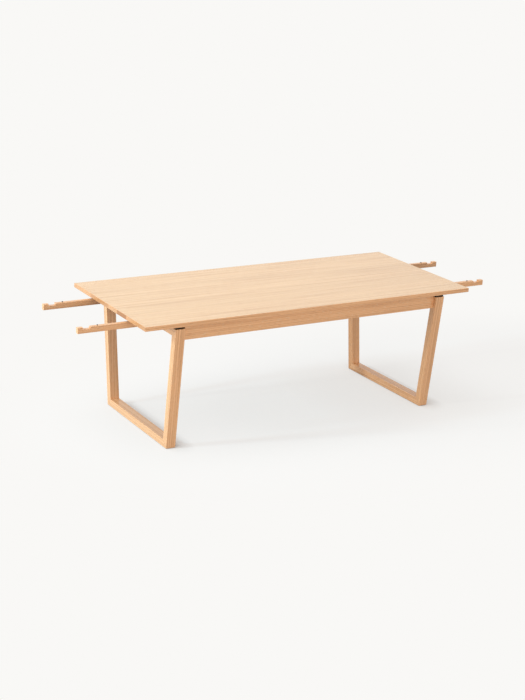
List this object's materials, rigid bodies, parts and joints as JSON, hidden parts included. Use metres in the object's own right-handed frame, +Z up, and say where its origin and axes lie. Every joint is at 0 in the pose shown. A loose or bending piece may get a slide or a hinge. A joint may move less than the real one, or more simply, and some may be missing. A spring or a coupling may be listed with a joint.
{
  "type": "extending dining table",
  "caption": "Long oak dining table on closed, leaning end frames, with notched pull-out runners at both ends that slide out from under the top to carry extension leaves.",
  "frame": {"origin": "on the floor, under the middle of the table top", "axes": "+X along the table towards the right-hand end, +Y across it towards the back, +Z up"},
  "size_m": [2.726, 0.95, 0.75],
  "materials": {
    "oak": "clear matt oil on planed oak",
    "beech": "planed beech, bare",
    "black_lacquer": "matt black lacquer",
    "blackened_steel": "blackened",
    "zinc_steel": "zinc plated",
    "brass": "turned",
    "felt": "pressed felt"
  },
  "bodies": {
    "table": {"table_top": "oak", "apron_front": "oak", "apron_back": "oak", "leg_left_front": "oak", "leg_left_back": "oak", "leg_right_front": "oak", "leg_right_back": "oak", "foot_rail_left": "oak", "foot_rail_right": "oak", "head_rail_left": "oak", "head_rail_right": "oak", "bearer_left": "oak", "bearer_right": "oak", "stop_batten_left": "oak", "stop_batten_right": "oak", "spacer_left_front": "black_lacquer", "spacer_left_back": "black_lacquer", "spacer_right_front": "black_lacquer", "spacer_right_back": "black_lacquer", "frame_bolt_left_front": "zinc_steel", "frame_bolt_left_back": "zinc_steel", "frame_bolt_right_front": "zinc_steel", "frame_bolt_right_back": "zinc_steel", "threaded_insert_left_front": "brass", "threaded_insert_left_back": "brass", "threaded_insert_right_front": "brass", "threaded_insert_right_back": "brass", "glide_left_front": "felt", "glide_left_back": "felt", "glide_right_front": "felt", "glide_right_back": "felt", "keeper_left_front": "beech", "keeper_left_back": "beech", "keeper_right_front": "beech", "keeper_right_back": "beech", "keeper_screw_left_front": "zinc_steel", "keeper_screw_left_back": "zinc_steel", "keeper_screw_right_front": "zinc_steel", "keeper_screw_right_back": "zinc_steel", "batten_screw_left_front": "zinc_steel", "batten_screw_left_back": "zinc_steel", "batten_screw_right_front": "zinc_steel", "batten_screw_right_back": "zinc_steel", "corner_block_left_front": "beech", "corner_block_left_back": "beech", "corner_block_right_front": "beech", "corner_block_right_back": "beech"},
    "left_front_runner": {"runner_left_front": "oak", "locating_pin_left_front": "blackened_steel", "stop_peg_left_front": "beech"},
    "left_back_runner": {"runner_left_back": "oak", "locating_pin_left_back": "blackened_steel", "stop_peg_left_back": "beech"},
    "right_front_runner": {"runner_right_front": "oak", "locating_pin_right_front": "blackened_steel", "stop_peg_right_front": "beech"},
    "right_back_runner": {"runner_right_back": "oak", "locating_pin_right_back": "blackened_steel", "stop_peg_right_back": "beech"}
  },
  "joints": [
    {"name": "left_front_slide", "type": "slide", "parent": "table", "child": "left_front_runner", "axis": [-1, 0, 0], "range_m": [-0.298, 0]},
    {"name": "left_back_slide", "type": "slide", "parent": "table", "child": "left_back_runner", "axis": [-1, 0, 0], "range_m": [-0.298, 0]},
    {"name": "right_front_slide", "type": "slide", "parent": "table", "child": "right_front_runner", "axis": [1, 0, 0], "range_m": [-0.298, 0]},
    {"name": "right_back_slide", "type": "slide", "parent": "table", "child": "right_back_runner", "axis": [1, 0, 0], "range_m": [-0.298, 0]}
  ]
}
